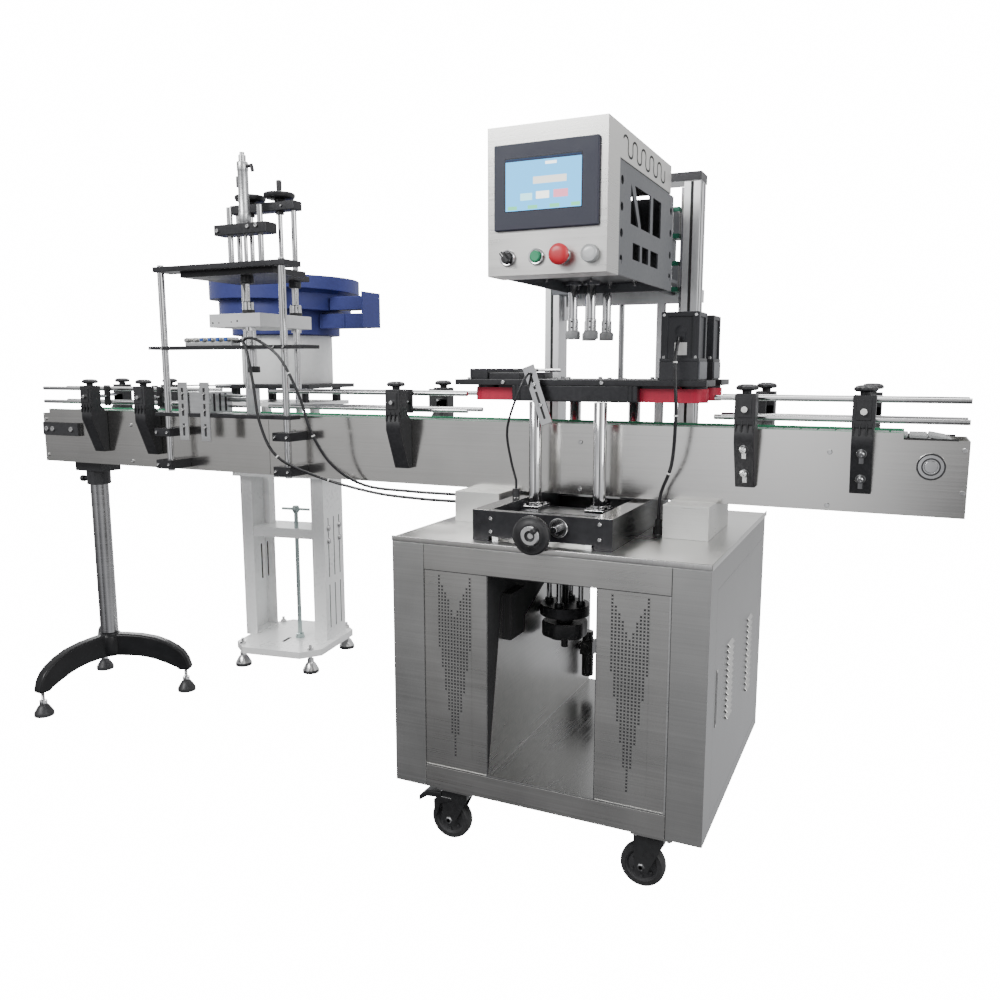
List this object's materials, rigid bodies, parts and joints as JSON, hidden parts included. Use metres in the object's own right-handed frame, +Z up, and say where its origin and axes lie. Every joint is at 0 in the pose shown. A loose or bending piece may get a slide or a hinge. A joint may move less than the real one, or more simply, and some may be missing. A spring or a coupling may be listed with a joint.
{
  "type": "screw capping machine",
  "caption": "Inline screw capping machine: belt conveyor with guide rails, wheel capping head on a steel cabinet, cap placing station and vibratory bowl feeder on a stand.",
  "frame": {"origin": "floor level, at the centre of the machine's floor rectangle", "axes": "+X along the conveyor, towards the capping station's end; +Y from the operator's side to the back; +Z up"},
  "size_m": [2.8378, 1.3488, 1.727],
  "materials": {
    "brushed_steel": "brushed",
    "polished_steel": "polished",
    "aluminium": "satin",
    "black_anodised": "black anodised",
    "black_coated": "black powder coat",
    "black_plastic": "matte",
    "grey_chain": "matte",
    "red_belt": "matte",
    "grey_paint": "satin",
    "grey_rubber": "matte",
    "button_green": "gloss",
    "button_red": "gloss",
    "white_paint": "satin",
    "white_plastic": "satin",
    "blue_paint": "satin"
  },
  "bodies": {
    "machine": {"cabinet_body": "brushed_steel", "air_regulator": "black_plastic", "jack_frame": "polished_steel", "base_box": "black_anodised", "conveyor_frame": "brushed_steel", "conveyor_chain": "grey_chain", "rail_left_front": "black_plastic", "rail_left_rear": "black_plastic", "rail_middle_front": "black_plastic", "rail_middle_rear": "black_plastic", "rail_right_front": "black_plastic", "rail_right_rear": "black_plastic", "leg_pole": "brushed_steel", "leg_base": "black_coated", "stand_frame": "white_paint", "station_front_frame": "polished_steel", "station_deck": "black_anodised", "station_cylinder": "aluminium", "station_hose_long": "black_plastic", "station_hose_short": "black_plastic", "sensor_cable": "black_plastic", "motor_cable": "black_plastic"},
    "door": {"side_door": "brushed_steel"},
    "front_belt_unit": {"front_carriage": "polished_steel", "front_belt_frame": "black_anodised", "front_belt": "red_belt"},
    "rear_belt_unit": {"rear_carriage": "polished_steel", "rear_belt_frame": "black_anodised", "rear_belt": "red_belt"},
    "spread_handwheel": {"base_handwheel": "black_anodised"},
    "column": {"column_frame": "aluminium"},
    "jack_wheel": {"jack_handwheel": "black_plastic"},
    "head": {"head_box": "brushed_steel", "head_frame": "grey_paint", "touch_screen": "black_plastic"},
    "selector": {"selector_knob": "black_plastic"},
    "start": {"start_button": "button_green"},
    "stop": {"stop_button": "button_red"},
    "block": {"placing_block": "white_plastic"},
    "wheel_left": {"station_wheel_left": "black_anodised"},
    "wheel_right": {"station_wheel_right": "black_anodised"},
    "drive": {"drive_shaft": "polished_steel"},
    "feeder": {"stand_platform": "white_paint", "feeder_base": "black_anodised", "feeder_drum": "white_paint", "feeder_bowl": "blue_paint"},
    "lift_screw": {"height_screw": "polished_steel"},
    "pedal": {"brake_pedal": "black_plastic"},
    "fork_front_left": {"caster_fork_front_left": "polished_steel"},
    "caster_front_left": {"caster_wheel_front_left": "black_plastic"},
    "fork_front_right": {"caster_fork_front_right": "polished_steel"},
    "caster_front_right": {"caster_wheel_front_right": "black_plastic"},
    "fork_rear_left": {"caster_fork_rear_left": "polished_steel"},
    "caster_rear_left": {"caster_wheel_rear_left": "black_plastic"},
    "fork_rear_right": {"caster_fork_rear_right": "polished_steel"},
    "caster_rear_right": {"caster_wheel_rear_right": "black_plastic"},
    "spindle_front_left": {"spindle_front_left": "grey_rubber"},
    "spindle_front_right": {"spindle_front_right": "grey_rubber"},
    "spindle_rear_left": {"spindle_rear_left": "grey_rubber"},
    "spindle_rear_right": {"spindle_rear_right": "grey_rubber"}
  },
  "joints": [
    {"name": "door_hinge", "type": "hinge", "parent": "machine", "child": "door", "pos_m": [0.96822, 0.10845, 0.4215], "axis": [0, 0, 1], "range_deg": [0, 110]},
    {"name": "front_belt_slide", "type": "slide", "parent": "machine", "child": "front_belt_unit", "axis": [0, 1, 0], "range_m": [0, 0.025]},
    {"name": "rear_belt_slide", "type": "slide", "parent": "machine", "child": "rear_belt_unit", "axis": [0, -1, 0], "range_m": [0, 0.025]},
    {"name": "spread_turn", "type": "hinge", "parent": "machine", "child": "spread_handwheel", "pos_m": [0.59292, -0.59155, 0.7735], "axis": [0, 1, 0], "continuous": true},
    {"name": "column_lift", "type": "slide", "parent": "machine", "child": "column", "axis": [0, 0, 1], "range_m": [0, 0.08]},
    {"name": "jack_turn", "type": "hinge", "parent": "machine", "child": "jack_wheel", "pos_m": [0.54142, -0.24155, 0.45], "axis": [0, 0, 1], "continuous": true},
    {"name": "block_slide", "type": "slide", "parent": "machine", "child": "block", "axis": [0, 0, -1], "range_m": [0, 0.045]},
    {"name": "wheel_left_turn", "type": "hinge", "parent": "machine", "child": "wheel_left", "pos_m": [-0.49908, -0.14155, 1.612], "axis": [0, 0, 1], "continuous": true},
    {"name": "wheel_right_turn", "type": "hinge", "parent": "machine", "child": "wheel_right", "pos_m": [-0.39208, -0.14155, 1.612], "axis": [0, 0, 1], "continuous": true},
    {"name": "drive_turn", "type": "hinge", "parent": "machine", "child": "drive", "pos_m": [1.34892, -0.16655, 0.92], "axis": [0, 1, 0], "continuous": true},
    {"name": "feeder_lift", "type": "slide", "parent": "machine", "child": "feeder", "axis": [0, 0, 1], "range_m": [-0.03, 0.05]},
    {"name": "lift_screw_turn", "type": "hinge", "parent": "machine", "child": "lift_screw", "pos_m": [-0.79323, 0.39079, 0.591], "axis": [0, 0, 1], "continuous": true},
    {"name": "fork_front_left_swivel", "type": "hinge", "parent": "machine", "child": "fork_front_left", "pos_m": [0.38792, -0.51655, 0.1367], "axis": [0, 0, 1], "continuous": true},
    {"name": "fork_front_right_swivel", "type": "hinge", "parent": "machine", "child": "fork_front_right", "pos_m": [0.86092, -0.51655, 0.1367], "axis": [0, 0, 1], "continuous": true},
    {"name": "fork_rear_left_swivel", "type": "hinge", "parent": "machine", "child": "fork_rear_left", "pos_m": [0.38792, 0.09345, 0.1367], "axis": [0, 0, 1], "continuous": true},
    {"name": "fork_rear_right_swivel", "type": "hinge", "parent": "machine", "child": "fork_rear_right", "pos_m": [0.86092, 0.09345, 0.1367], "axis": [0, 0, 1], "continuous": true},
    {"name": "head_slide", "type": "slide", "parent": "column", "child": "head", "axis": [0, 0, -1], "range_m": [0, 0.05]},
    {"name": "pedal_hinge", "type": "hinge", "parent": "fork_front_left", "child": "pedal", "pos_m": [0.34262, -0.51655, 0.104], "axis": [0, -1, 0], "range_deg": [0, 10]},
    {"name": "caster_front_left_roll", "type": "hinge", "parent": "fork_front_left", "child": "caster_front_left", "pos_m": [0.36092, -0.51655, 0.05], "axis": [0, 1, 0], "continuous": true},
    {"name": "caster_front_right_roll", "type": "hinge", "parent": "fork_front_right", "child": "caster_front_right", "pos_m": [0.83392, -0.51655, 0.05], "axis": [0, 1, 0], "continuous": true},
    {"name": "caster_rear_left_roll", "type": "hinge", "parent": "fork_rear_left", "child": "caster_rear_left", "pos_m": [0.36092, 0.09345, 0.05], "axis": [0, 1, 0], "continuous": true},
    {"name": "caster_rear_right_roll", "type": "hinge", "parent": "fork_rear_right", "child": "caster_rear_right", "pos_m": [0.83392, 0.09345, 0.05], "axis": [0, 1, 0], "continuous": true},
    {"name": "selector_turn", "type": "hinge", "parent": "head", "child": "selector", "pos_m": [0.56392, -0.64445, 1.337], "axis": [0, 1, 0], "range_deg": [-45, 45]},
    {"name": "start_press", "type": "slide", "parent": "head", "child": "start", "axis": [0, 1, 0], "range_m": [0, 0.003], "stiffness_N_per_m": 400},
    {"name": "stop_press", "type": "slide", "parent": "head", "child": "stop", "axis": [0, 1, 0], "range_m": [0, 0.005], "stiffness_N_per_m": 800},
    {"name": "spindle_front_left_spin", "type": "hinge", "parent": "head", "child": "spindle_front_left", "pos_m": [0.54792, -0.22655, 1.192], "axis": [0, 0, 1], "continuous": true},
    {"name": "spindle_front_right_spin", "type": "hinge", "parent": "head", "child": "spindle_front_right", "pos_m": [0.59392, -0.22655, 1.192], "axis": [0, 0, 1], "continuous": true},
    {"name": "spindle_rear_left_spin", "type": "hinge", "parent": "head", "child": "spindle_rear_left", "pos_m": [0.54792, -0.10655, 1.192], "axis": [0, 0, 1], "continuous": true},
    {"name": "spindle_rear_right_spin", "type": "hinge", "parent": "head", "child": "spindle_rear_right", "pos_m": [0.59392, -0.10655, 1.192], "axis": [0, 0, 1], "continuous": true}
  ],
  "couplings": [
    {"joint": "rear_belt_slide", "follows": "front_belt_slide", "ratio": 1},
    {"joint": "spread_turn", "follows": "front_belt_slide", "rad_per_m": 1570.8},
    {"joint": "jack_turn", "follows": "column_lift", "rad_per_m": 1256.6},
    {"joint": "lift_screw_turn", "follows": "feeder_lift", "rad_per_m": 1570.8}
  ]
}
